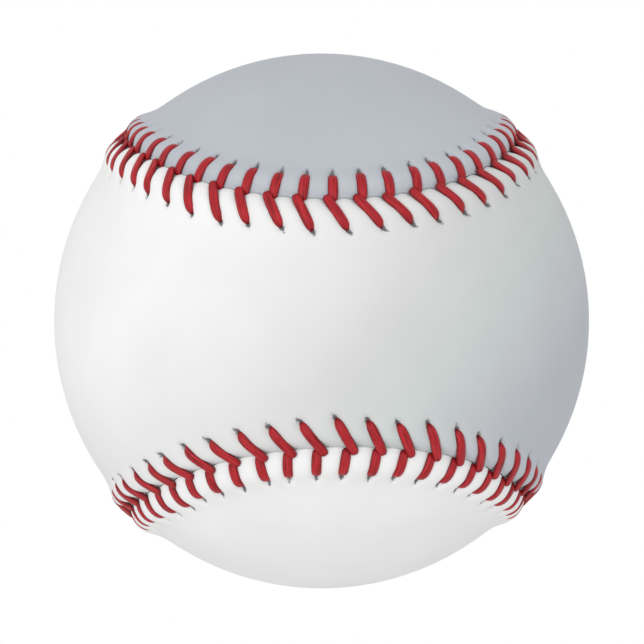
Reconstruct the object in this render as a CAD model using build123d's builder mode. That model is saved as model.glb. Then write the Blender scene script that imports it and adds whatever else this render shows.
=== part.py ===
"""Baseball: a cushioned cork pill, four windings, two figure-eight leather panels and the sewn seam.

The ball's centre is the origin. The front panel's waist faces -Y and its lobes lie on +X and -X.
The rear panel is the front one turned half round about the line x = z, so its lobes lie on +Z and -Z.
"""

import os
from math import atan2, cos, degrees, radians, sin, sqrt

from build123d import *

# Cover, in millimetres. Sizes along the leather are measured over its smooth surface.
ball_radius = 36.9
leather_thickness = 1.3
panel_waist = 31.4
lobe_end_radius = 26.8
lobe_end_turn = 50.9
seam_gap = 0.3

# Raised lip along the edge of each panel, where the sewing pulls the leather up
lip_width = 5.2
lip_rise = 0.5
lip_edge_rise = 0.15
lip_crest_share = 0.42

# Plain strip along the middle of each panel, as a share of what the lips leave at the waist
middle_strip_share = 0.8

# Sewing: each stitch is a leg on either panel, from its hole to the seam
stitch_count = 108
first_stitch_lead = 0.9
hole_to_seam = 3.5
front_hole_lead = 1.65
rear_hole_lead = 0.6
leg_end_to_seam = 0.5
leg_end_stagger = 1.0
thread_width = 1.4
thread_thickness = 0.8
thread_end_slope = 50
thread_fit = 0.08

# Pill, from the middle outwards
cork_diameter = 20.6
black_rubber_thickness = 3.97
gasket_thickness = 1.6
red_rubber_thickness = 2.38

# Windings, from the cover inwards. The inner gray one fills what is left round the pill.
finishing_winding_thickness = 0.3
outer_gray_winding_thickness = 2.05
white_winding_thickness = 1.75
layer_fit = 0.05

cover_inner_radius = ball_radius - leather_thickness
finishing_outer_radius = cover_inner_radius - layer_fit
outer_gray_outer_radius = finishing_outer_radius - finishing_winding_thickness - layer_fit
white_outer_radius = outer_gray_outer_radius - outer_gray_winding_thickness - layer_fit
inner_gray_outer_radius = white_outer_radius - white_winding_thickness - layer_fit
cork_radius = cork_diameter / 2
black_inner_radius = cork_radius + layer_fit
black_outer_radius = black_inner_radius + black_rubber_thickness
jacket_inner_radius = black_outer_radius + layer_fit
jacket_outer_radius = jacket_inner_radius + red_rubber_thickness
lip_crest = lip_width * lip_crest_share
strip_half_width = (panel_waist / 2 - lip_width) * middle_strip_share
strip_height = ball_radius * sin(strip_half_width / ball_radius)
ring_reach = (lip_width + lobe_end_radius) / 2

centre = (0, 0, 0)
swap_axis = Axis(centre, (1, 0, 1))


# The seam is a chain of tangent arcs on the sphere: one round the end of each lobe, and two
# shoulder arcs that carry it on to the next lobe. Directions here are unit vectors from the centre.
half_waist_angle = panel_waist / 2 / ball_radius
lobe_end_angle = lobe_end_radius / ball_radius
lobe_tip = Vector(0, -cos(half_waist_angle), sin(half_waist_angle))
lobe_centre = Vector(0, -cos(half_waist_angle + lobe_end_angle), sin(half_waist_angle + lobe_end_angle))
lobe_axis = Axis(centre, lobe_centre)
lobe_shoulder = lobe_tip.rotate(lobe_axis, lobe_end_turn)
crossing = Vector(1, 0, 1).normalized()

# The shoulder arc leaves the end arc without a kink and ends on the crossing, which fixes its centre
towards_lobe = (lobe_centre - lobe_shoulder * lobe_centre.dot(lobe_shoulder)).normalized()
shoulder_angle = atan2(1 - lobe_shoulder.dot(crossing), towards_lobe.dot(crossing))
shoulder_centre = lobe_shoulder * cos(shoulder_angle) + towards_lobe * sin(shoulder_angle)
shoulder_foot = shoulder_centre * cos(shoulder_angle)
shoulder_reach = ((lobe_shoulder + crossing) / 2 - shoulder_foot).normalized() * sin(shoulder_angle)
shoulder_middle = shoulder_foot + shoulder_reach
shoulder_radius = shoulder_angle * ball_radius


def mirrored(direction):
    """A direction mirrored across the plane x = 0."""
    return Vector(-direction.X, direction.Y, direction.Z)


def on_next_lobe(direction, steps):
    """A direction carried to a later lobe: each step is a quarter turn about Y and a flip of Y."""
    for _ in range(steps):
        direction = Vector(direction.Z, -direction.Y, -direction.X)
    return direction


# A span is an arc of the seam, as its start, a direction on the way and its end
lobe_spans = [
    (mirrored(crossing), mirrored(shoulder_middle), mirrored(lobe_shoulder)),
    (mirrored(lobe_shoulder), lobe_tip, lobe_shoulder),
    (lobe_shoulder, shoulder_middle, crossing),
]
seam_spans = [tuple(on_next_lobe(d, lobe) for d in span) for lobe in range(4) for span in lobe_spans]
# The front panel lies outside the rear panel's lobes and inside its own
waist_spans = seam_spans[0:3] + seam_spans[6:9]
shoulder_spans = [seam_spans[3], seam_spans[5], seam_spans[9], seam_spans[11]]
lobe_end_spans = [seam_spans[4], seam_spans[10]]


def span_normal(span):
    """Direction of the axis that a span of the seam turns about."""
    start, middle, end = span
    return (middle - start).cross(end - middle).normalized()


def span_axis(span):
    """Axis that a span of the seam turns about."""
    return Axis(centre, span_normal(span))


def span_turn(span):
    """Degrees from one end of a span to the other."""
    start, middle, _ = span
    normal = span_normal(span)
    foot = normal * normal.dot(start)
    return 2 * (start - foot).get_angle(middle - foot)


def span_length(span):
    """Length of a span over the leather."""
    normal = span_normal(span)
    reach = span[0] - normal * normal.dot(span[0])
    return radians(span_turn(span)) * reach.length * ball_radius


def section_plane(span):
    """Plane across the start of a span: x outwards, y over the leather towards the front panel."""
    start = span[0]
    along = span_normal(span).cross(start)
    towards_front = along.cross(start)
    return Plane(origin=centre, x_dir=start, z_dir=start.cross(towards_front))


def on_section(across, height):
    """Point of a seam section, from its distance across the seam and its height above the leather."""
    angle = across / ball_radius
    return ((ball_radius + height) * cos(angle), (ball_radius + height) * sin(angle))


def panel_section(span, reach):
    """Section of the front panel from its edge inwards: a rounded lip, then plain leather."""
    edge = seam_gap / 2
    bottom = -leather_thickness
    with BuildSketch(section_plane(span)) as section:
        with BuildLine():
            ThreePointArc(
                on_section(edge, lip_edge_rise), on_section(lip_crest, lip_rise), on_section(lip_width, 0)
            )
            ThreePointArc(
                on_section(lip_width, 0), on_section((lip_width + reach) / 2, 0), on_section(reach, 0)
            )
            Line(on_section(reach, 0), on_section(reach, bottom))
            ThreePointArc(
                on_section(reach, bottom), on_section((edge + reach) / 2, bottom), on_section(edge, bottom)
            )
            Line(on_section(edge, bottom), on_section(edge, lip_edge_rise))
        make_face()
    return section.sketch


def panel_sector(span):
    """Leather beside a span, as far as the plain strip along the middle of the front panel."""
    upper = span[1].Z > 0
    with BuildPart() as sector:
        revolve(
            panel_section(span, shoulder_radius), axis=span_axis(span), revolution_arc=span_turn(span)
        )
        split(
            bisect_by=Plane.XY.offset(strip_height if upper else -strip_height),
            keep=Keep.TOP if upper else Keep.BOTTOM,
        )
    return sector.part


def on_strip(radius, height):
    """Point of the plain strip's section, from its distance to the ball's centre and its height."""
    return (sqrt(radius ** 2 - height ** 2), height)


def strip_quarter():
    """Upper right quarter of the plain strip, from the waist to the end of the lobe."""
    inside = cover_inner_radius
    with BuildPart() as quarter:
        with BuildSketch(Plane(origin=centre, x_dir=(0, -1, 0), z_dir=(-1, 0, 0))):
            with BuildLine():
                ThreePointArc(
                    on_strip(ball_radius, 0),
                    on_strip(ball_radius, strip_height / 2),
                    on_strip(ball_radius, strip_height),
                )
                Line(on_strip(ball_radius, strip_height), on_strip(inside, strip_height))
                ThreePointArc(
                    on_strip(inside, strip_height), on_strip(inside, strip_height / 2), on_strip(inside, 0)
                )
                Line(on_strip(inside, 0), on_strip(ball_radius, 0))
            make_face()
        revolve(axis=Axis.Z, revolution_arc=180 - degrees(half_waist_angle))
        split(bisect_by=section_plane(lobe_end_spans[0]), keep=Keep.BOTTOM)
    return quarter.part


def lobe_ring(span):
    """Leather that follows the end of a lobe, part of the way to the lobe's centre."""
    with BuildPart() as ring:
        revolve(panel_section(span, ring_reach), axis=span_axis(span), revolution_arc=span_turn(span))
    return ring.part


def lobe_middle(span):
    """Plain leather round the centre of a lobe, inside the ring that follows its end."""
    with BuildPart() as middle:
        Sphere(ball_radius)
        Sphere(cover_inner_radius, mode=Mode.SUBTRACT)
        with BuildSketch(section_plane(span)):
            with BuildLine():
                Polyline(
                    centre,
                    on_section(ring_reach, ball_radius),
                    on_section(lobe_end_radius, ball_radius),
                    centre,
                )
            make_face()
        revolve(axis=span_axis(span), revolution_arc=span_turn(span), mode=Mode.INTERSECT)
    return middle.part


os.makedirs("parts", exist_ok=True)

# Cover: the front panel is joined from its plain strip, the sectors along the seam and the lobe ends
upper_right_strip = strip_quarter()
lower_right_strip = upper_right_strip.mirror(Plane.XY)
with BuildPart() as front_cover_panel:
    for span in waist_spans:
        add(panel_sector(span), clean=False)
    for quarter in (upper_right_strip, lower_right_strip):
        add(quarter, clean=False)
        add(quarter.mirror(Plane.YZ), clean=False)
    for span in shoulder_spans:
        add(panel_sector(span), clean=False)
    for span in lobe_end_spans:
        add(lobe_ring(span), clean=False)
    for span in lobe_end_spans:
        add(lobe_middle(span), clean=False)
front_cover_panel.part.label = "front_cover_panel"
export_step(front_cover_panel.part, "parts/front_cover_panel.step")

with BuildPart() as rear_cover_panel:
    add(front_cover_panel.part.rotate(swap_axis, 180))
rear_cover_panel.part.label = "rear_cover_panel"
export_step(rear_cover_panel.part, "parts/rear_cover_panel.step")

# Sewing: the legs of both threads, laid over the lips
span_lengths = [span_length(span) for span in seam_spans]
seam_length = sum(span_lengths)
stitch_pitch = seam_length / stitch_count
leg_height = lip_rise + thread_fit


def beside_seam(station, across):
    """Point at the underside of the thread, from its place along the seam and across it."""
    rest = station % seam_length
    number = 0
    while rest > span_lengths[number]:
        rest -= span_lengths[number]
        number += 1
    span = seam_spans[number]
    outwards = span[0].rotate(span_axis(span), span_turn(span) * rest / span_lengths[number])
    towards_front = span_normal(span).cross(outwards).cross(outwards).normalized()
    angle = across / ball_radius
    return (outwards * cos(angle) + towards_front * sin(angle)) * (ball_radius + leg_height)


def leg_plane(stitch, side):
    """Plane along a leg and square to the leather, with its origin under the leg's middle."""
    lead = front_hole_lead if side > 0 else rear_hole_lead
    station = first_stitch_lead + stitch * stitch_pitch
    hole = beside_seam(station + lead, side * hole_to_seam)
    seam_end = beside_seam(station - side * leg_end_stagger / 2, side * leg_end_to_seam)
    outwards = (hole + seam_end).normalized()
    along = seam_end - hole
    return Plane(origin=outwards * (ball_radius + leg_height), x_dir=along, z_dir=along.cross(outwards))


def leg_length(side):
    """Length of the legs on one side, from hole to seam."""
    lead = front_hole_lead if side > 0 else rear_hole_lead
    along = lead + side * leg_end_stagger / 2
    return sqrt((hole_to_seam - leg_end_to_seam) ** 2 + along ** 2)


def thread_legs(first_side):
    """Legs of one needle's thread: it changes sides at every stitch."""
    front = [n for n in range(stitch_count) if (n % 2 == 0) == (first_side > 0)]
    rear = [n for n in range(stitch_count) if n not in front]
    with BuildPart() as legs:
        for side, stitches in ((1, front), (-1, rear)):
            with BuildSketch(*[leg_plane(n, side) for n in stitches]):
                Trapezoid(
                    leg_length(side), thread_thickness, thread_end_slope, align=(Align.CENTER, Align.MIN)
                )
            extrude(amount=thread_width / 2, both=True)
    return legs


seam_thread_one = thread_legs(1)
seam_thread_one.part.label = "seam_thread_one"
export_step(seam_thread_one.part, "parts/seam_thread_one.step")

seam_thread_two = thread_legs(-1)
seam_thread_two.part.label = "seam_thread_two"
export_step(seam_thread_two.part, "parts/seam_thread_two.step")

# Pill: cork ball, two black half shells with a washer between their rims, red jacket
with BuildPart() as cork_core:
    Sphere(cork_radius)
cork_core.part.label = "cork_core"
export_step(cork_core.part, "parts/cork_core.step")

with BuildPart() as upper_rubber_half:
    Sphere(black_outer_radius)
    Sphere(black_inner_radius, mode=Mode.SUBTRACT)
    split(bisect_by=Plane.XY.offset(gasket_thickness / 2), keep=Keep.TOP)
upper_rubber_half.part.label = "upper_rubber_half"
export_step(upper_rubber_half.part, "parts/upper_rubber_half.step")

with BuildPart() as lower_rubber_half:
    add(upper_rubber_half.part)
    mirror(about=Plane.XY, mode=Mode.REPLACE)
lower_rubber_half.part.label = "lower_rubber_half"
export_step(lower_rubber_half.part, "parts/lower_rubber_half.step")

with BuildPart() as rubber_gasket:
    with BuildSketch():
        Circle(sqrt(black_outer_radius ** 2 - (gasket_thickness / 2) ** 2))
        Circle(black_inner_radius, mode=Mode.SUBTRACT)
    extrude(amount=gasket_thickness / 2, both=True)
rubber_gasket.part.label = "rubber_gasket"
export_step(rubber_gasket.part, "parts/rubber_gasket.step")


def hollow_ball(inner_radius, outer_radius):
    """Closed round layer between two radii."""
    with BuildPart() as layer:
        Sphere(outer_radius)
        Sphere(inner_radius, mode=Mode.SUBTRACT)
    return layer


red_rubber_jacket = hollow_ball(jacket_inner_radius, jacket_outer_radius)
red_rubber_jacket.part.label = "red_rubber_jacket"
export_step(red_rubber_jacket.part, "parts/red_rubber_jacket.step")

# Windings of yarn, each drawn as the closed layer that its turns fill
inner_gray_winding = hollow_ball(jacket_outer_radius + layer_fit, inner_gray_outer_radius)
inner_gray_winding.part.label = "inner_gray_winding"
export_step(inner_gray_winding.part, "parts/inner_gray_winding.step")

white_winding = hollow_ball(inner_gray_outer_radius + layer_fit, white_outer_radius)
white_winding.part.label = "white_winding"
export_step(white_winding.part, "parts/white_winding.step")

outer_gray_winding = hollow_ball(white_outer_radius + layer_fit, outer_gray_outer_radius)
outer_gray_winding.part.label = "outer_gray_winding"
export_step(outer_gray_winding.part, "parts/outer_gray_winding.step")

finishing_winding = hollow_ball(outer_gray_outer_radius + layer_fit, finishing_outer_radius)
finishing_winding.part.label = "finishing_winding"
export_step(finishing_winding.part, "parts/finishing_winding.step")

print("seam length", round(seam_length, 1), "mm, stitch pitch", round(stitch_pitch, 3), "mm")
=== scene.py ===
"""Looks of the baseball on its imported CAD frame: sewn leather cover, red thread and the layers inside.

Lengths in the settings are in millimetres, except where a comment says metres. Meshes are in metres.
The frame is the CAD model's: the ball's centre is the origin, and the waist of the front panel faces -Y.
"""

import math

import bmesh
import bpy
import numpy as np
from mathutils import Matrix, Vector


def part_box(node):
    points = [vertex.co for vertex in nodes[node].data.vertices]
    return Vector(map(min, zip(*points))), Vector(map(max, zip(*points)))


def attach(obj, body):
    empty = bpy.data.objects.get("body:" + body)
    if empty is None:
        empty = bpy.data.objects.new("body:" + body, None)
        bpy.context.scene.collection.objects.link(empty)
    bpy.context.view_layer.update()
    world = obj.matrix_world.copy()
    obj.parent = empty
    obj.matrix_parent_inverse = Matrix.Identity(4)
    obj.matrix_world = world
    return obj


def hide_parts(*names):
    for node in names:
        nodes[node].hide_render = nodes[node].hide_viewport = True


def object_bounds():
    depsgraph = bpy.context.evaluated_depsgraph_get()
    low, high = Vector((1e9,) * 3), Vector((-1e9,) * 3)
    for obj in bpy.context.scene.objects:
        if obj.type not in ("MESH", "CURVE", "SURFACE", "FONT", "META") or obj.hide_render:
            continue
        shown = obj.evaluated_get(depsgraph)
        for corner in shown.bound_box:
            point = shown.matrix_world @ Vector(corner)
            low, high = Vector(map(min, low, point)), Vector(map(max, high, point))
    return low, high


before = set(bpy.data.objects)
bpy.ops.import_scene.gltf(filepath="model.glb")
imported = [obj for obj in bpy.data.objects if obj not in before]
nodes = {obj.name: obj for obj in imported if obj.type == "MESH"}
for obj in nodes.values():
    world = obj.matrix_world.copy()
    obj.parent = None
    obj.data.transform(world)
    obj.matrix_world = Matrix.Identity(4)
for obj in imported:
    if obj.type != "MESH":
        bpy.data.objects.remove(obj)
cad_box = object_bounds()
mm = 0.001

# Cover
ball_radius = (cad_box[1].x - cad_box[0].x) / 2 / mm
leather_thickness = 1.3
panel_waist = 31.4
lobe_count = 4
lobe_end_radius = 26.8
lobe_end_turn = 50.9
seam_gap = 0.12

# Raised lip beside the seam, and what the sewing does to it
lip_rise = 1.15
lip_crest = 2.1
lip_inner_width = 2.0
lip_outer_width = 2.25
seam_groove_depth = 0.2
seam_groove_width = 0.45
press_depth = 0.62
press_width = 0.78
press_off_lip_share = 0.15
pit_depth = 0.45
pit_width = 0.45
pit_beyond_leg = 0.5
pucker_length = 1.9
pucker_depth = 0.2
pucker_width = 0.29
edge_swell = 0.35
edge_swell_reach = 1.3
full_swell_slope = 0.5

# Painted shade in the holes and along the puckers' creases: how strong it is and how quickly it fades
pit_shade_strength = 1.1
pit_shade_fade = 2
pucker_shade_strength = 1.6
pucker_shade_fade = 1.4

# Sewing, with the front panel's legs (side 1) over the rear panel's (side -1)
stitch_count = 108
hole_to_seam = 3.5
first_stitch_lead = 0.9
hole_lead = {1: 1.65, -1: 0.6}
leg_end_across = {1: -0.3, -1: 0.15}
leg_end_lead = {1: -0.55, -1: 0.35}
leg_end_lift = {1: 0.42, -1: 0.05}
thread_width = 1.42
thread_thickness = 0.8
stitch_wander = 0.13
end_lead_wander_share = 0.5
end_across_wander_share = 0.25

# A leg from its hole at 0 to the seam at 1: its rise, its width and the lowest ground that it lies on
leg_shares = np.array([-0.045, 0.0, 0.07, 0.28, 0.52, 0.76, 0.94, 1.06])
leg_rise = np.array([-0.85, -0.25, 0, 0, 0, 0, 0, -0.45])
leg_width_shares = np.array([0.6, 0.86, 0.98, 1.03, 1.04, 1, 0.95, 0.75])
leg_floor_shares = [0.0, 0.5, 1.0]
leg_floor = [-0.25, 0.1, -0.3]
leg_middle_share = 0.4
leg_lift_start_share = 0.6

# Mesh density
samples_per_stitch = 16
lip_rows = 24
lip_row_power = 1.35
lip_mesh_width = 8.4
lip_lining_step = 4
field_rows = 20
lining_rows = 10
weld_distance = 0.001 * mm
yarn_subdivisions = 7
yarn_lining_subdivisions = 4

# Windings: turns of yarn that lie side by side, and the grooves between them as a share of its width
yarn_bands = 60
turns_per_band = 6
yarn_depth_share = 0.12

# Finishes: cells of noise per metre on leather, or across and along a leg of thread, and shares of shade
cloud_scale = 90
fold_scale = 420
fold_share = 0.8
leather_grain_scale = 1500
shade_speckle_scale = 2600
fibre_scale = (30, 2.5, 1)
fibre_step_per_leg = 7.3
strand_shade_share = 0.85
leg_end_shade_share = 0.8
yarn_groove_shade_share = 0.45
rubber_grain_share = 0.75

# Camera, fitted to the seam in the photograph
camera_distance_share = 8.0
camera_yaw = math.radians(3.76)
camera_pitch = math.radians(0.95)
camera_roll = math.radians(-0.98)
picture_size = 644
ball_pixel_radius = 267.5
ball_pixel_centre = (321.6, 320.9)
sensor_width = 36.0

# Stage, with lengths in metres: a floor, soft light all round and one large light in front
floor_depth = 0.35
floor_radius = 1.2
floor_white = (0.88, 0.88, 0.88, 1)
key_light_place = (-0.3, -0.81, 0.12)
key_light_size = 0.8
key_light_energy = 2.15
surroundings_strength = 0.76
camera_near = 0.01

random = np.random.default_rng(seed=108)


# Seam: tangent arcs on the sphere, in unit vectors from the ball's centre


def unit(vectors):
    """Vectors scaled to length one."""
    return vectors / np.linalg.norm(vectors, axis=-1, keepdims=True)


def turned(vectors, axes, angles):
    """Vectors turned about axes by angles."""
    angles = np.asarray(angles)[..., None]
    along = axes * np.sum(vectors * axes, axis=-1, keepdims=True)
    return (vectors - along) * np.cos(angles) + np.cross(axes, vectors) * np.sin(angles) + along


def next_lobe(direction):
    """A direction carried to the next lobe: a quarter turn about Y and a flip of Y."""
    return np.array([direction[2], -direction[1], -direction[0]])


def seam_spans():
    """Start, axis and turn of each arc of the seam, in order."""
    half_waist = panel_waist / 2 / ball_radius
    end_angle = lobe_end_radius / ball_radius
    tip = np.array([0, -math.cos(half_waist), math.sin(half_waist)])
    centre = np.array([0, -math.cos(half_waist + end_angle), math.sin(half_waist + end_angle)])
    shoulder = turned(tip, centre, math.radians(lobe_end_turn))
    crossing = unit(np.array([1.0, 0.0, 1.0]))
    inwards = unit(centre - shoulder * centre.dot(shoulder))
    angle = math.atan2(1 - shoulder.dot(crossing), inwards.dot(crossing))
    shoulder_centre = shoulder * math.cos(angle) + inwards * math.sin(angle)
    foot = shoulder_centre * math.cos(angle)
    shoulder_turn = math.acos(np.dot(unit(shoulder - foot), unit(crossing - foot)))
    mirror = np.array([-1.0, 1.0, 1.0])
    lobe = [
        (crossing * mirror, shoulder_centre * mirror, shoulder_turn),
        (shoulder * mirror, centre, 2 * math.radians(lobe_end_turn)),
        (shoulder, shoulder_centre, shoulder_turn),
    ]
    spans = []
    for _ in range(lobe_count):
        spans += lobe
        lobe = [(next_lobe(start), -next_lobe(axis), turn) for start, axis, turn in lobe]
    return spans


spans = seam_spans()
span_starts = np.array([start for start, _, _ in spans])
span_axes = np.array([axis for _, axis, _ in spans])
span_turns = np.array([turn for _, _, turn in spans])
span_radii = np.linalg.norm(np.cross(span_starts, span_axes), axis=1) * ball_radius
span_ends = np.cumsum(span_turns * span_radii)
seam_length = span_ends[-1]
stitch_pitch = seam_length / stitch_count


def seam_frame(station):
    """Directions outwards, along the seam and towards the front panel at a place on the seam."""
    place = np.mod(station, seam_length)
    number = np.minimum(np.searchsorted(span_ends, place, side="right"), len(spans) - 1)
    begun = np.concatenate([[0.0], span_ends])[number]
    angle = (place - begun) / span_radii[number]
    outwards = turned(span_starts[number], span_axes[number], angle)
    along = unit(np.cross(span_axes[number], outwards))
    return outwards, along, np.cross(along, outwards)


def cover_point(station, across, height):
    """Point of the cover in metres, from its place along the seam, across it and above the leather."""
    outwards, _, front = seam_frame(station)
    angle = (np.asarray(across) / ball_radius)[..., None]
    direction = outwards * np.cos(angle) + front * np.sin(angle)
    return direction * (ball_radius + np.asarray(height))[..., None] * mm


# Stitches: each leg runs from its hole to the seam, a little unevenly


def stitch_legs(side):
    """Hole and seam end of each leg on one side, as stations and distances from the seam."""
    stations = np.arange(stitch_count) * stitch_pitch + first_stitch_lead
    wander = random.normal(0, stitch_wander, (4, stitch_count))
    return {
        "hole": stations + hole_lead[side] + wander[0],
        "hole_out": hole_to_seam + wander[1],
        "end": stations + leg_end_lead[side] + wander[2] * end_lead_wander_share,
        "end_out": leg_end_across[side] + wander[3] * end_across_wander_share,
    }


legs = {side: stitch_legs(side) for side in (1, -1)}


def to_segment(x, y, length):
    """Distance from points to a line from the origin along x."""
    return np.hypot(x - np.clip(x, 0, length), y)


def lip_shape(side, station, out):
    """Height of the leather over the smooth ball and its painted shade in the holes and creases, beside
    the seam.
    """
    width = np.where(out < lip_crest, lip_inner_width, lip_outer_width)
    roll = np.exp(-(((out - lip_crest) / width) ** 2))
    height = lip_rise * roll - seam_groove_depth * np.exp(-((out / seam_groove_width) ** 2))
    press = np.zeros_like(height)
    pit = np.zeros_like(height)
    pucker = np.zeros_like(height)
    nearest = np.floor(station / stitch_pitch).astype(int)
    side_legs = legs[side]
    # Only the legs next to a place shape its leather
    for step in (-2, -1, 0, 1):
        number = nearest + step
        wrap = (number // stitch_count) * seam_length
        number = number % stitch_count
        hole_x = side_legs["hole"][number] + wrap
        hole_y = side_legs["hole_out"][number]
        run_x = side_legs["end"][number] + wrap - hole_x
        run_y = side_legs["end_out"][number] - hole_y
        length = np.hypot(run_x, run_y)
        x = ((station - hole_x) * run_x + (out - hole_y) * run_y) / length
        y = ((station - hole_x) * run_y - (out - hole_y) * run_x) / length
        press = np.maximum(press, np.exp(-((to_segment(x, y, length) / press_width) ** 2)))
        pit = np.maximum(pit, np.exp(-((np.hypot(x + pit_beyond_leg, y) / pit_width) ** 2)))
        crease = np.exp(-((to_segment(-x, y, pucker_length) / pucker_width) ** 2))
        pucker = np.maximum(pucker, crease * np.clip(1 + x / pucker_length, 0, 1))
    height -= press_depth * press * np.clip(roll + press_off_lip_share, 0, 1)
    height -= pit_depth * pit + pucker_depth * pucker
    # Gray painted shade in each hole and along its pucker's crease
    pit_shade = pit_shade_strength * pit ** pit_shade_fade
    pucker_shade = pucker_shade_strength * pucker ** pucker_shade_fade
    return height, np.clip(np.maximum(pit_shade, pucker_shade), 0, 1)


def edge_shift(station, out):
    """Shift of both edges towards the front panel, as the lower lip swells up between stitches."""
    _, _, front = seam_frame(station)
    between = np.abs(np.sin(np.pi * (station - first_stitch_lead) / stitch_pitch))
    upwards = np.clip(front[..., 2] / full_swell_slope, -1, 1)
    return edge_swell * between * upwards * np.exp(-((out / edge_swell_reach) ** 2))


# Mesh helpers


def bent_grid(bm, points, layer=None, values=None, uv=False):
    """A grid of faces with its corners moved to points, an array of rows by columns."""
    rows, columns = points.shape[:2]
    grid = bmesh.ops.create_grid(bm, x_segments=columns - 1, y_segments=rows - 1, size=1, calc_uvs=uv)
    for vertex in grid["verts"]:
        column = round((vertex.co.x + 1) / 2 * (columns - 1))
        row = round((vertex.co.y + 1) / 2 * (rows - 1))
        vertex.co = points[row, column]
        if layer is not None:
            vertex[layer] = values[row, column]
    return grid["verts"]


def finished_piece(name, bm, material, node):
    """A mesh object that stands for a CAD node."""
    mesh = bpy.data.meshes.new(name)
    bm.to_mesh(mesh)
    bm.free()
    mesh.polygons.foreach_set("use_smooth", [True] * len(mesh.polygons))
    mesh.materials.append(material)
    piece = bpy.data.objects.new(name, mesh)
    bpy.context.scene.collection.objects.link(piece)
    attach(piece, "root")
    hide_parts(node)
    return piece


# Leather panels


def panel_band(bm, hole_shade_layer, side, stations):
    """The panel's lip with its lining and cut edge: a grid bent along the whole seam."""
    shares = np.linspace(0, 1, lip_rows + 1) ** lip_row_power
    outer = seam_gap / 2 + (lip_mesh_width - seam_gap / 2) * shares
    lining = outer[::-lip_lining_step]
    out = np.concatenate([lining, outer])
    is_outer = np.arange(len(out)) >= len(lining)
    loop = np.append(stations, stations[0])
    station_grid, out_grid = np.meshgrid(loop, out)
    height, hole_shade = lip_shape(side, station_grid, out_grid)
    height = np.where(is_outer[:, None], height, -leather_thickness)
    hole_shade = np.where(is_outer[:, None], hole_shade, 0)
    across = side * out_grid + edge_shift(station_grid, out_grid)
    points = cover_point(station_grid, across, height)
    bent_grid(bm, points, hole_shade_layer, hole_shade)
    return points[-1, :-1], points[0, :-1]


def panel_field(bm, hole_shade_layer, rim, first, rows):
    """The middle of a panel: rungs over the ball between facing points of its rim."""
    half = len(rim) // 2
    step = np.arange(half)
    start = rim[(first + step) % len(rim)]
    end = rim[(first - 1 - step) % len(rim)]
    share = np.repeat(np.linspace(0, 1, rows + 1)[:, None], half, axis=1)
    # The first and last rungs are edges of the rim, so their points gather at its ends
    share[:, [0, -1]] = np.round(share[:, [0, -1]])
    share = share[..., None]
    angle = np.arccos(np.clip(np.sum(unit(start) * unit(end), axis=1), -1, 1))[:, None]
    radius = np.linalg.norm(start, axis=1)[:, None]
    along = unit(np.sin((1 - share) * angle) * start + np.sin(share * angle) * end)
    points = np.where(share == 0, start, np.where(share == 1, end, along * radius))
    bent_grid(bm, points, hole_shade_layer, np.zeros(points.shape[:2]))


def cover_panel(name, side, material):
    """A closed figure-eight panel of leather, shaped by its sewing."""
    count = stitch_count * samples_per_stitch
    stations = (np.arange(count) + 0.5) * seam_length / count
    # The rungs begin at the tip of a lobe, which for the front panel is the second lobe along the seam
    half_lobe = count // (2 * lobe_count)
    first = half_lobe * 3 if side > 0 else half_lobe
    bm = bmesh.new()
    hole_shade_layer = bm.verts.layers.float.new("hole_shade")
    rim, lining_rim = panel_band(bm, hole_shade_layer, side, stations)
    panel_field(bm, hole_shade_layer, rim, first, field_rows)
    panel_field(bm, hole_shade_layer, lining_rim, first, lining_rows)
    bmesh.ops.remove_doubles(bm, verts=bm.verts, dist=weld_distance)
    bmesh.ops.recalc_face_normals(bm, faces=bm.faces)
    panel = finished_piece(name + "_leather", bm, material, name)


# Thread


def leg_section():
    """Half-width and height shares round a leg: two strands side by side, with a dip between them."""
    half_shares = [(0, -1), (0.7, -0.75), (1, 0), (0.62, 0.86), (0, 0.78)]
    return np.array(half_shares + [(-width, height) for width, height in half_shares[-2::-1]])


def leg_points(side, number):
    """Rings of points round a leg, from inside its hole to under the seam."""
    leg = {key: values[number] for key, values in legs[side].items()}
    station = leg["hole"] + (leg["end"] - leg["hole"]) * leg_shares
    across = leg["hole_out"] + (leg["end_out"] - leg["hole_out"]) * leg_shares
    lip_height, _ = lip_shape(side, station, np.abs(across))
    ground = np.maximum(lip_height, np.interp(leg_shares, leg_floor_shares, leg_floor))
    height = ground + thread_thickness * leg_middle_share + leg_rise
    lifted = (leg_shares - leg_lift_start_share) / (1 - leg_lift_start_share)
    height += leg_end_lift[side] * np.clip(lifted, 0, 1)
    centres = cover_point(station, side * across, height)
    outwards = unit(centres)
    along = unit(np.gradient(centres, axis=0))
    beside = unit(np.cross(along, outwards))
    upwards = unit(np.cross(beside, along))
    section = leg_section()
    half_width = (thread_width / 2 * leg_width_shares)[:, None, None] * mm
    half_height = thread_thickness / 2 * mm
    return (
        centres[:, None, :]
        + beside[:, None, :] * section[None, :, 0:1] * half_width
        + upwards[:, None, :] * section[None, :, 1:2] * half_height
    )


def thread(name, first_side, material):
    """One needle's thread: its legs change sides at every stitch."""
    bm = bmesh.new()
    bm.loops.layers.uv.new("UVMap")
    leg_layer = bm.verts.layers.float.new("leg")
    for number in range(stitch_count):
        side = first_side if number % 2 == 0 else -first_side
        points = leg_points(side, number)
        leg_numbers = np.full(points.shape[:2], float(side * number))
        vertices = bent_grid(bm, points, leg_layer, leg_numbers, uv=True)
        bmesh.ops.remove_doubles(bm, verts=vertices, dist=weld_distance)
    open_edges = [edge for edge in bm.edges if edge.is_boundary]
    bmesh.ops.holes_fill(bm, edges=open_edges)
    bmesh.ops.recalc_face_normals(bm, faces=bm.faces)
    piece = finished_piece(name + "_legs", bm, material, name)
    smooth = piece.modifiers.new("Smooth", "SUBSURF")
    smooth.levels = 1
    smooth.render_levels = 1


# Windings


def cad_inner_radius(node):
    """Radius of the hollow inside a CAD layer."""
    return min(vertex.co.length for vertex in nodes[node].data.vertices)


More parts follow.
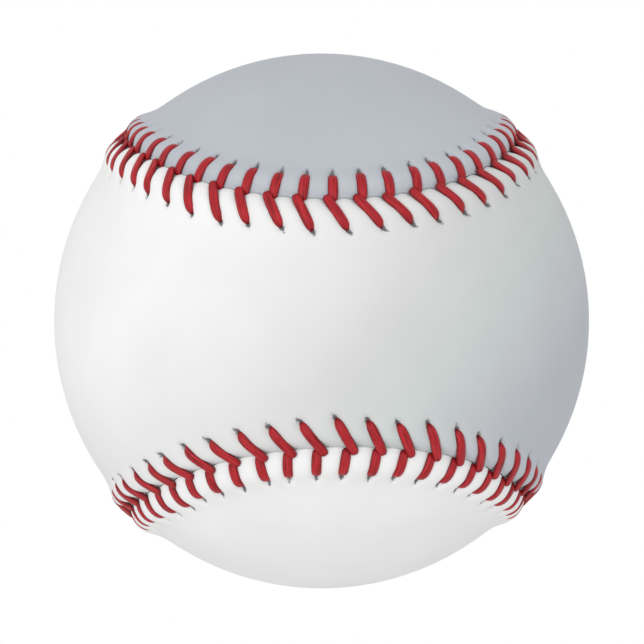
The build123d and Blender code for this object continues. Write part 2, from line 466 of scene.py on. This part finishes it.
def wound_layer(node, material, yarn_width):
    """A hollow ball of yarn: bands of turns side by side, laid one over another at all angles."""
    low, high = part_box(node)
    outer_radius = (high[0] - low[0]) / 2
    bm = bmesh.new()
    laid_layer = bm.verts.layers.float.new("laid")
    bmesh.ops.create_icosphere(bm, subdivisions=yarn_subdivisions, radius=1)
    directions = np.array([vertex.co for vertex in bm.verts])
    laid = np.zeros(len(directions))
    for axis in unit(random.normal(size=(yarn_bands, 3))):
        turn = np.arcsin(np.clip(directions @ axis, -1, 1)) * outer_radius / (yarn_width * mm)
        covered = np.abs(turn) < turns_per_band / 2
        laid[covered] = np.abs(np.sin(np.pi * turn[covered]))
    points = directions * (outer_radius - (1 - laid[:, None]) * yarn_width * yarn_depth_share * mm)
    for vertex, point, height in zip(bm.verts, points, laid):
        vertex.co = point
        vertex[laid_layer] = height
    bmesh.ops.recalc_face_normals(bm, faces=bm.faces)
    inner_radius = cad_inner_radius(node)
    lining = bmesh.ops.create_icosphere(bm, subdivisions=yarn_lining_subdivisions, radius=inner_radius)
    lining_faces = {face for vertex in lining["verts"] for face in vertex.link_faces}
    bmesh.ops.reverse_faces(bm, faces=list(lining_faces))
    finished_piece(node + "_yarn", bm, material, node)


# Materials


def new_material(name, roughness, specular):
    """A plain material, its node tree and its shader."""
    material = bpy.data.materials.new(name)
    material.use_nodes = True
    shader = material.node_tree.nodes["Principled BSDF"]
    shader.inputs["Roughness"].default_value = roughness
    shader.inputs["Specular IOR Level"].default_value = specular
    return material, material.node_tree, shader


def linear(*channels):
    """A display colour out of 255 as a linear colour, by the standard sRGB curve."""
    shares = [channel / 255 for channel in channels]
    return tuple(s / 12.92 if s <= 0.04045 else ((s + 0.055) / 1.055) ** 2.4 for s in shares) + (1.0,)


def math_node(tree, operation, first, second):
    """A maths node with sockets or numbers as its inputs."""
    node = tree.nodes.new("ShaderNodeMath")
    node.operation = operation
    for socket, value in zip(node.inputs, (first, second)):
        if isinstance(value, (int, float)):
            socket.default_value = value
        else:
            tree.links.new(value, socket)
    return node.outputs[0]


def ramp_node(tree, factor, stops):
    """A colour ramp with a list of places and colours."""
    ramp = tree.nodes.new("ShaderNodeValToRGB")
    while len(ramp.color_ramp.elements) < len(stops):
        ramp.color_ramp.elements.new(0.5)
    for element, (place, colour) in zip(ramp.color_ramp.elements, stops):
        element.position = place
        element.color = colour
    tree.links.new(factor, ramp.inputs["Fac"])
    return ramp.outputs["Color"]


def mix_node(tree, blend, factor, first, second):
    """A colour mix of two sockets or colours."""
    mix = tree.nodes.new("ShaderNodeMix")
    mix.data_type = "RGBA"
    mix.blend_type = blend
    # The node keeps sockets for other kinds of data between the factor and its two colours
    for socket, value in ((mix.inputs[0], factor), (mix.inputs[6], first), (mix.inputs[7], second)):
        if isinstance(value, (int, float, tuple)):
            socket.default_value = value
        else:
            tree.links.new(value, socket)
    return mix.outputs[2]


def noise_node(tree, vector, scale, detail):
    """Noise with so many cells to a unit of the vector."""
    noise = tree.nodes.new("ShaderNodeTexNoise")
    noise.inputs["Scale"].default_value = scale
    noise.inputs["Detail"].default_value = detail
    tree.links.new(vector, noise.inputs["Vector"])
    return noise.outputs["Fac"]


def bump_node(tree, shader, height, strength, distance):
    """A bump on a shader."""
    bump = tree.nodes.new("ShaderNodeBump")
    bump.inputs["Strength"].default_value = strength
    bump.inputs["Distance"].default_value = distance
    tree.links.new(height, bump.inputs["Height"])
    tree.links.new(bump.outputs["Normal"], shader.inputs["Normal"])


def leather(name, slope, low_share, high_share, tint):
    """White leather with a soft tint along a slope, between two shares of the ball's radius."""
    material, tree, shader = new_material(name, roughness=0.55, specular=0.3)
    place = tree.nodes.new("ShaderNodeTexCoord").outputs["Object"]
    along = tree.nodes.new("ShaderNodeVectorMath")
    along.operation = "DOT_PRODUCT"
    along.inputs[1].default_value = slope
    tree.links.new(place, along.inputs[0])
    share = tree.nodes.new("ShaderNodeMapRange")
    share.inputs["From Min"].default_value = low_share * ball_radius * mm
    share.inputs["From Max"].default_value = high_share * ball_radius * mm
    tree.links.new(along.outputs["Value"], share.inputs["Value"])
    colour = ramp_node(tree, share.outputs["Result"], tint)
    cloud = noise_node(tree, place, scale=cloud_scale, detail=3)
    cloud_tone = ramp_node(tree, cloud, [(0.3, (0.955, 0.955, 0.95, 1)), (0.7, (1, 1, 1, 1))])
    colour = mix_node(tree, "MULTIPLY", 1.0, colour, cloud_tone)
    # Painted shade in the holes and creases: gray with ragged edges
    hole_shade = tree.nodes.new("ShaderNodeAttribute")
    hole_shade.attribute_name = "hole_shade"
    speckle = math_node(tree, "SUBTRACT", noise_node(tree, place, scale=shade_speckle_scale, detail=2), 0.5)
    ragged = math_node(tree, "ADD", hole_shade.outputs["Fac"], speckle)
    shade = ramp_node(tree, ragged, [(0.3, (0, 0, 0, 1)), (0.62, (1, 1, 1, 1))])
    hole_shade_gray = linear(116, 117, 119)
    colour = mix_node(tree, "MIX", shade, colour, hole_shade_gray)
    tree.links.new(colour, shader.inputs["Base Color"])
    folds = noise_node(tree, place, scale=fold_scale, detail=2)
    grain = noise_node(tree, place, scale=leather_grain_scale, detail=4)
    relief = math_node(tree, "ADD", grain, math_node(tree, "MULTIPLY", folds, fold_share))
    bump_node(tree, shader, relief, strength=0.22, distance=0.05 * mm)
    return material


def red_thread():
    """Waxed red thread: two strands with fibres along each leg, and painted shade at its edges, in the
    dip between its strands and at both ends, darkest at its hole.
    """
    material, tree, shader = new_material("red_thread", roughness=0.42, specular=0.35)
    place = tree.nodes.new("ShaderNodeUVMap").outputs["UV"]
    parts = tree.nodes.new("ShaderNodeSeparateXYZ")
    tree.links.new(place, parts.inputs["Vector"])
    stretch = tree.nodes.new("ShaderNodeMapping")
    stretch.inputs["Scale"].default_value = fibre_scale
    own = tree.nodes.new("ShaderNodeVectorMath")
    own.operation = "ADD"
    tree.links.new(place, own.inputs[0])
    leg = tree.nodes.new("ShaderNodeAttribute")
    leg.attribute_name = "leg"
    tree.links.new(math_node(tree, "MULTIPLY", leg.outputs["Fac"], fibre_step_per_leg), own.inputs[1])
    tree.links.new(own.outputs["Vector"], stretch.inputs["Vector"])
    fibres = noise_node(tree, stretch.outputs["Vector"], scale=1, detail=4)
    reds = [(0.33, linear(112, 9, 18)), (0.47, linear(170, 15, 28)), (0.68, linear(206, 40, 50))]
    colour = ramp_node(tree, fibres, reds)
    # Painted shade: darker at the edges of each leg and in the dip between its two strands
    dark = (0.3, 0.2, 0.22, 1)
    light = (1, 1, 1, 1)
    middle = (0.9, 0.86, 0.86, 1)
    across = [(0.25, dark), (0.36, light), (0.47, light), (0.51, middle), (0.55, light), (0.64, light)]
    painted_strand_shade = ramp_node(tree, parts.outputs["X"], across + [(0.75, dark)])
    colour = mix_node(tree, "MULTIPLY", strand_shade_share, colour, painted_strand_shade)
    # Painted shade at both ends of each leg, darkest where it goes into its hole
    along = [(0.08, dark), (0.24, light), (0.86, light), (0.97, (0.6, 0.5, 0.5, 1))]
    painted_end_shade = ramp_node(tree, parts.outputs["Y"], along)
    colour = mix_node(tree, "MULTIPLY", leg_end_shade_share, colour, painted_end_shade)
    tree.links.new(colour, shader.inputs["Base Color"])
    bump_node(tree, shader, fibres, strength=0.6, distance=0.15 * mm)
    return material


def yarn(name, colour, roughness, fluff_scale):
    """Yarn in many turns, with painted shade in the grooves between them."""
    material, tree, shader = new_material(name, roughness, specular=0.3)
    place = tree.nodes.new("ShaderNodeTexCoord").outputs["Object"]
    laid = tree.nodes.new("ShaderNodeAttribute")
    laid.attribute_name = "laid"
    # Painted shade in the grooves between turns, where the yarn lies lowest
    groove_shade = tuple(channel * yarn_groove_shade_share for channel in colour[:3]) + (1.0,)
    tone = ramp_node(tree, laid.outputs["Fac"], [(0.05, groove_shade), (0.6, colour)])
    fluff = noise_node(tree, place, fluff_scale, detail=4)
    shade = ramp_node(tree, fluff, [(0.35, (0.82, 0.82, 0.82, 1)), (0.6, (1, 1, 1, 1))])
    tree.links.new(mix_node(tree, "MULTIPLY", 1.0, tone, shade), shader.inputs["Base Color"])
    bump_node(tree, shader, fluff, strength=0.4, distance=0.1 * mm)
    return material


def plain_surface(name, colour, roughness, grain_scale, grain_depth, speck=None):
    """Rubber or cork: one colour with some grain."""
    material, tree, shader = new_material(name, roughness, specular=0.3)
    place = tree.nodes.new("ShaderNodeTexCoord").outputs["Object"]
    grain = noise_node(tree, place, grain_scale, detail=4)
    dark = speck or tuple(channel * rubber_grain_share for channel in colour[:3]) + (1.0,)
    tree.links.new(ramp_node(tree, grain, [(0.35, dark), (0.6, colour)]), shader.inputs["Base Color"])
    bump_node(tree, shader, grain, strength=0.4, distance=grain_depth * mm)
    return material


def paint(node, material):
    """A CAD node with a material of its own."""
    nodes[node].data.materials.clear()
    nodes[node].data.materials.append(material)


# Cover pieces
white = linear(252, 252, 252)
soft_white = linear(248, 248, 248)
pale_gray = linear(194, 199, 206)
front_tint = [
    (0.0, white),
    (0.28, linear(238, 238, 238)),
    (0.5, linear(223, 223, 223)),
    (0.72, linear(210, 217, 215)),
    (0.86, linear(203, 207, 210)),
    (1.0, pale_gray),
]
rear_tint = [(0.0, soft_white), (1.0, pale_gray)]
# The front panel's print darkens to the right and, tilted this far, also towards the bottom: that
# downward darkening is partly print and partly painted shade
print_and_shade_tilt = math.radians(38)
print_and_shade_slope = (math.cos(print_and_shade_tilt), 0, -math.sin(print_and_shade_tilt))
front_leather = leather("front_leather", print_and_shade_slope, low_share=-0.6, high_share=0.74, tint=front_tint)
rear_leather = leather("rear_leather", (0, 0, 1), low_share=-0.4, high_share=0.4, tint=rear_tint)
cover_panel("front_cover_panel", 1, front_leather)
cover_panel("rear_cover_panel", -1, rear_leather)
thread_look = red_thread()
thread("seam_thread_one", 1, thread_look)
thread("seam_thread_two", -1, thread_look)

# Layers inside
gray_wool = yarn("gray_wool", linear(150, 150, 152), roughness=0.9, fluff_scale=2200)
white_wool = yarn("white_wool", linear(232, 228, 216), roughness=0.9, fluff_scale=2200)
fine_thread = yarn("finishing_thread", linear(236, 234, 226), roughness=0.8, fluff_scale=3500)
wound_layer("inner_gray_winding", gray_wool, yarn_width=2.6)
wound_layer("white_winding", white_wool, yarn_width=2.4)
wound_layer("outer_gray_winding", gray_wool, yarn_width=2.4)
wound_layer("finishing_winding", fine_thread, yarn_width=1.9)
cork_specks = linear(104, 66, 40)
cork = plain_surface(
    "cork", linear(186, 142, 96), roughness=0.85, grain_scale=700, grain_depth=0.3, speck=cork_specks
)
rubber_finish = {"roughness": 0.6, "grain_scale": 900, "grain_depth": 0.05}
black_rubber = plain_surface("black_rubber", linear(38, 38, 40), **rubber_finish)
red_rubber = plain_surface("red_rubber", linear(168, 58, 48), **rubber_finish)
paint("cork_core", cork)
paint("lower_rubber_half", black_rubber)
paint("upper_rubber_half", black_rubber)
paint("rubber_gasket", red_rubber)
paint("red_rubber_jacket", red_rubber)


# Stage


def white_floor():
    """Round white floor, well below the ball."""
    bm = bmesh.new()
    bmesh.ops.create_circle(bm, cap_ends=True, segments=64, radius=floor_radius)
    bmesh.ops.translate(bm, verts=bm.verts, vec=(0, 0, -floor_depth))
    mesh = bpy.data.meshes.new("floor")
    bm.to_mesh(mesh)
    bm.free()
    material, _, shader = new_material("floor_white", roughness=0.9, specular=0.1)
    shader.inputs["Base Color"].default_value = floor_white
    mesh.materials.append(material)
    floor = bpy.data.objects.new("floor", mesh)
    bpy.context.scene.collection.objects.link(floor)


def key_light():
    """Square soft light in front of the ball, turned towards it."""
    data = bpy.data.lights.new("key_light", "AREA")
    data.size = key_light_size
    data.energy = key_light_energy
    lamp = bpy.data.objects.new("key_light", data)
    lamp.location = key_light_place
    lamp.rotation_euler = (-Vector(key_light_place)).to_track_quat("-Z", "Y").to_euler()
    bpy.context.scene.collection.objects.link(lamp)


def white_surroundings():
    """Even light from all round, which the camera sees as plain white."""
    world = bpy.data.worlds.new("surroundings")
    world.use_nodes = True
    tree = world.node_tree
    background = tree.nodes["Background"]
    background.inputs["Color"].default_value = (1, 1, 1, 1)
    seen = tree.nodes.new("ShaderNodeLightPath").outputs["Is Camera Ray"]
    extra = math_node(tree, "MULTIPLY", seen, 1 - surroundings_strength)
    level = math_node(tree, "ADD", extra, surroundings_strength)
    tree.links.new(level, background.inputs["Strength"])
    bpy.context.scene.world = world


def fitted_camera():
    """Camera at the photograph's angle and distance."""
    data = bpy.data.cameras.new("camera")
    camera = bpy.data.objects.new("camera", data)
    bpy.context.scene.collection.objects.link(camera)
    turn = (
        Matrix.Rotation(camera_roll, 3, "Y")
        @ Matrix.Rotation(camera_pitch, 3, "X")
        @ Matrix.Rotation(camera_yaw, 3, "Z")
    ).transposed()
    right, up, back = (turn @ Vector(axis) for axis in ((1, 0, 0), (0, 0, 1), (0, -1, 0)))
    axes = Matrix((right, up, back)).transposed().to_4x4()
    distance = camera_distance_share * ball_radius * mm
    camera.matrix_world = Matrix.Translation(back * distance) @ axes
    focal_pixels = ball_pixel_radius * math.sqrt(camera_distance_share ** 2 - 1)
    data.sensor_width = sensor_width
    data.lens = sensor_width * focal_pixels / picture_size
    data.shift_x = (picture_size / 2 - ball_pixel_centre[0]) / picture_size
    data.shift_y = (ball_pixel_centre[1] - picture_size / 2) / picture_size
    data.clip_start = camera_near
    bpy.context.scene.camera = camera


white_floor()
key_light()
white_surroundings()
fitted_camera()
bpy.context.scene.view_settings.view_transform = "Standard"
